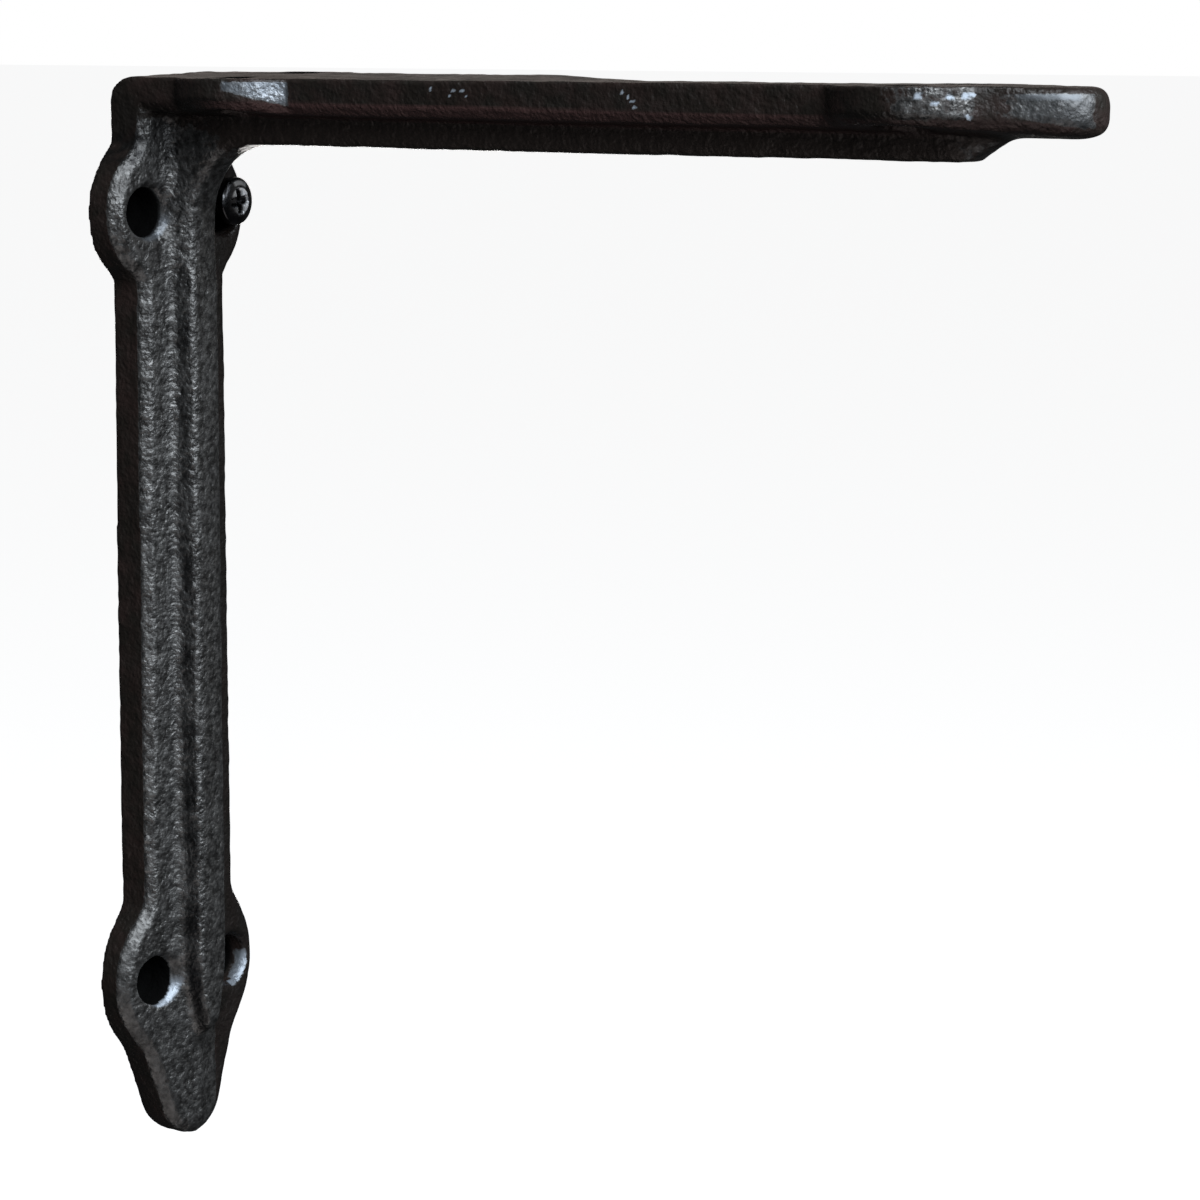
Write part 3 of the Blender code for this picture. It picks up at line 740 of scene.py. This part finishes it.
def add_softbox(name, direction, size, power, colour):
    """A rectangular soft light that faces the bracket from that direction."""
    lamp = bpy.data.lights.new(name, 'AREA')
    lamp.shape = 'RECTANGLE'
    lamp.size, lamp.size_y = size
    lamp.energy = power
    lamp.color = colour
    light = bpy.data.objects.new(name, lamp)
    way = Vector(direction).normalized()
    light.location = Vector(LIGHT_TARGET) + way * LIGHT_DISTANCE
    light.rotation_euler = way.to_track_quat('Z', 'Y').to_euler()
    bpy.context.scene.collection.objects.link(light)


def add_floor():
    """A pale floor well below the bracket, which throws no light on it."""
    near, far = -FLOOR_REACH, FLOOR_REACH
    corners = np.array([[near, near, FLOOR_Z], [far, near, FLOOR_Z],
                        [far, far, FLOOR_Z], [near, far, FLOOR_Z]])
    floor = bpy.data.objects.new("floor", numpy_mesh("floor", corners, np.array([[0, 1, 2, 3]])))
    bpy.context.scene.collection.objects.link(floor)
    pale = bpy.data.materials.new("pale_floor")
    pale.use_nodes = True
    shader = pale.node_tree.nodes["Principled BSDF"]
    shader.inputs["Base Color"].default_value = (0.9, 0.9, 0.9, 1.0)
    shader.inputs["Roughness"].default_value = 0.9
    shader.inputs["Emission Color"].default_value = (1.0, 1.0, 1.0, 1.0)
    shader.inputs["Emission Strength"].default_value = FLOOR_GLOW
    floor.data.materials.append(pale)
    floor.visible_diffuse = False
    floor.visible_glossy = False


def add_air():
    """Air that is white to the camera and lights the bracket only a little."""
    world = bpy.data.worlds.new("studio")
    bpy.context.scene.world = world
    world.use_nodes = True
    tree = world.node_tree
    dim = tree.nodes["Background"]
    dim.inputs["Color"].default_value = AIR_COLOUR
    dim.inputs["Strength"].default_value = AIR_STRENGTH
    white = tree.nodes.new("ShaderNodeBackground")
    white.inputs["Color"].default_value = (1.0, 1.0, 1.0, 1.0)
    seen = tree.nodes.new("ShaderNodeLightPath")
    both = tree.nodes.new("ShaderNodeMixShader")
    tree.links.new(seen.outputs["Is Camera Ray"], both.inputs[0])
    tree.links.new(dim.outputs[0], both.inputs[1])
    tree.links.new(white.outputs[0], both.inputs[2])
    tree.links.new(both.outputs[0], tree.nodes["World Output"].inputs["Surface"])


add_camera()
add_floor()
add_air()
for light in LIGHTS:
    add_softbox(*light)
bpy.context.scene.view_settings.view_transform = 'Standard'
casting_skin()
screw_piece()
